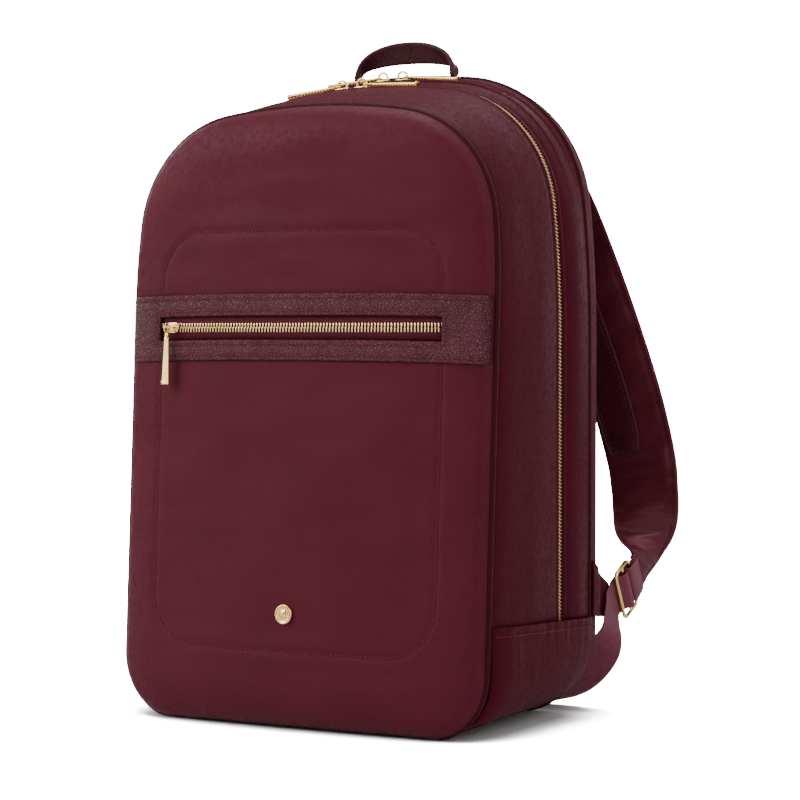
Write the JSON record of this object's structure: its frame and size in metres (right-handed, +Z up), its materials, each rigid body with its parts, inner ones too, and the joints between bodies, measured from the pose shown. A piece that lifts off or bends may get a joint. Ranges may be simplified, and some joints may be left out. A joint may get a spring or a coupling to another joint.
{
  "type": "travel backpack",
  "caption": "Slim travel laptop backpack in burgundy nylon with a grained leather zip band, gold metal zips and buckles, side pockets, carry handle and padded straps",
  "frame": {"origin": "centre of the underside of the base, on the floor", "axes": "+X to the viewer's right when facing the front, the front faces -Y, +Z up"},
  "size_m": [0.3088, 0.2561, 0.4388],
  "materials": {
    "nylon": "plain-weave nylon with a soft satin sheen, burgundy",
    "leather": "fine-grain burgundy-brown leather, satin",
    "gold_metal": "polished pale gold plating",
    "zip_tape": "woven zip tape carrying pale gold metal teeth",
    "webbing": "ribbed burgundy strap webbing",
    "padded_mesh": "padded foam faced with a fine twill",
    "lining": "smooth lining cloth",
    "board": "stiffening board"
  },
  "bodies": {
    "bag": {"back_mesh": "padded_mesh", "back_panel": "padded_mesh", "base_board": "board", "bottom_gusset": "nylon", "front_fold": "nylon", "front_panel_lower": "nylon", "front_piping_lower": "nylon", "laptop_chain_front": "zip_tape", "laptop_chain_rear": "zip_tape", "laptop_divider": "lining", "luggage_sleeve": "nylon", "main_chain_rear": "zip_tape", "rear_gusset": "nylon", "rear_piping": "nylon", "side_pocket_left": "nylon", "side_pocket_right": "nylon", "strap_root_left": "nylon", "strap_root_right": "nylon", "wing_left": "nylon", "wing_right": "nylon"},
    "flap": {"front_panel": "nylon", "leather_band": "leather", "pocket_chain_lower": "zip_tape", "pocket_chain_upper": "zip_tape", "front_gusset": "nylon", "main_chain_front": "zip_tape", "front_piping": "nylon", "front_pocket_bag": "lining", "badge": "gold_metal"},
    "handle": {"carry_handle": "leather"},
    "pocket_slider": {"pocket_slider": "gold_metal"},
    "pocket_pull": {"pocket_pull": "gold_metal"},
    "main_slider_left": {"main_slider_left": "gold_metal"},
    "main_pull_left": {"main_pull_left": "gold_metal"},
    "main_slider_right": {"main_slider_right": "gold_metal"},
    "main_pull_right": {"main_pull_right": "gold_metal"},
    "laptop_slider_left": {"laptop_slider_left": "gold_metal"},
    "laptop_pull_left": {"laptop_pull_left": "gold_metal"},
    "laptop_slider_right": {"laptop_slider_right": "gold_metal"},
    "laptop_pull_right": {"laptop_pull_right": "gold_metal"},
    "strap_left": {"strap_shell_left": "nylon", "strap_pad_left": "padded_mesh", "buckle_loop_left": "webbing", "buckle_left": "gold_metal", "webbing_left": "webbing"},
    "strap_right": {"strap_shell_right": "nylon", "strap_pad_right": "padded_mesh", "buckle_loop_right": "webbing", "buckle_right": "gold_metal", "webbing_right": "webbing"}
  },
  "joints": [
    {"name": "front_opens", "type": "hinge", "parent": "bag", "child": "flap", "pos_m": [0, 0.02, 0.062], "axis": [1, 0, 0], "range_deg": [0, 15], "deforming": ["front_fold"]},
    {"name": "main_zip_left", "type": "hinge", "parent": "bag", "child": "main_slider_left", "pos_m": [0, 0.02, -0.04422], "axis": [0, 1, 0], "range_deg": [-2.5, 0]},
    {"name": "main_pull_left_tilt", "type": "hinge", "parent": "main_slider_left", "child": "main_pull_left", "pos_m": [-0.0282, 0.02, 0.4081], "axis": [0, 1, 0], "range_deg": [0, 92]},
    {"name": "main_zip_right", "type": "hinge", "parent": "bag", "child": "main_slider_right", "pos_m": [0, 0.02, -0.04422], "axis": [0, 1, 0], "range_deg": [0, 7.7]},
    {"name": "main_pull_right_tilt", "type": "hinge", "parent": "main_slider_right", "child": "main_pull_right", "pos_m": [-0.01309, 0.02, 0.40879], "axis": [0, -1, 0], "range_deg": [0, 92]},
    {"name": "laptop_zip_left", "type": "hinge", "parent": "bag", "child": "laptop_slider_left", "pos_m": [0, 0.045, -0.03846], "axis": [0, 1, 0], "range_deg": [-4.1, 0]},
    {"name": "laptop_pull_left_tilt", "type": "hinge", "parent": "laptop_slider_left", "child": "laptop_pull_left", "pos_m": [-0.01209, 0.045, 0.41458], "axis": [0, 1, 0], "range_deg": [0, 92]},
    {"name": "laptop_zip_right", "type": "hinge", "parent": "bag", "child": "laptop_slider_right", "pos_m": [0, 0.045, -0.03846], "axis": [0, 1, 0], "range_deg": [0, 5.2]},
    {"name": "laptop_pull_right_tilt", "type": "hinge", "parent": "laptop_slider_right", "child": "laptop_pull_right", "pos_m": [0.00302, 0.045, 0.41473], "axis": [0, -1, 0], "range_deg": [0, 92]},
    {"name": "pocket_zip", "type": "hinge", "parent": "flap", "child": "pocket_slider", "pos_m": [0, 0.82615, 0.2495], "axis": [0, 0, 1], "range_deg": [0, 11.87]},
    {"name": "pocket_pull_swing", "type": "hinge", "parent": "pocket_slider", "child": "pocket_pull", "pos_m": [-0.09468, -0.08483, 0.24986], "axis": [-0.9946, 0.1034, 0], "range_deg": [0, 150]},
    {"name": "handle_swing", "type": "hinge", "parent": "bag", "child": "handle", "pos_m": [0, 0.054, 0.417], "axis": [1, 0, 0], "range_deg": [-25, 15]},
    {"name": "strap_right_swing", "type": "hinge", "parent": "bag", "child": "strap_right", "pos_m": [0.068, 0.08, 0.384], "axis": [0.1975, 0.0349, -0.9797], "range_deg": [0, 10]},
    {"name": "strap_left_swing", "type": "hinge", "parent": "bag", "child": "strap_left", "pos_m": [-0.068, 0.08, 0.384], "axis": [0.1975, -0.0349, 0.9797], "range_deg": [0, 10]}
  ]
}
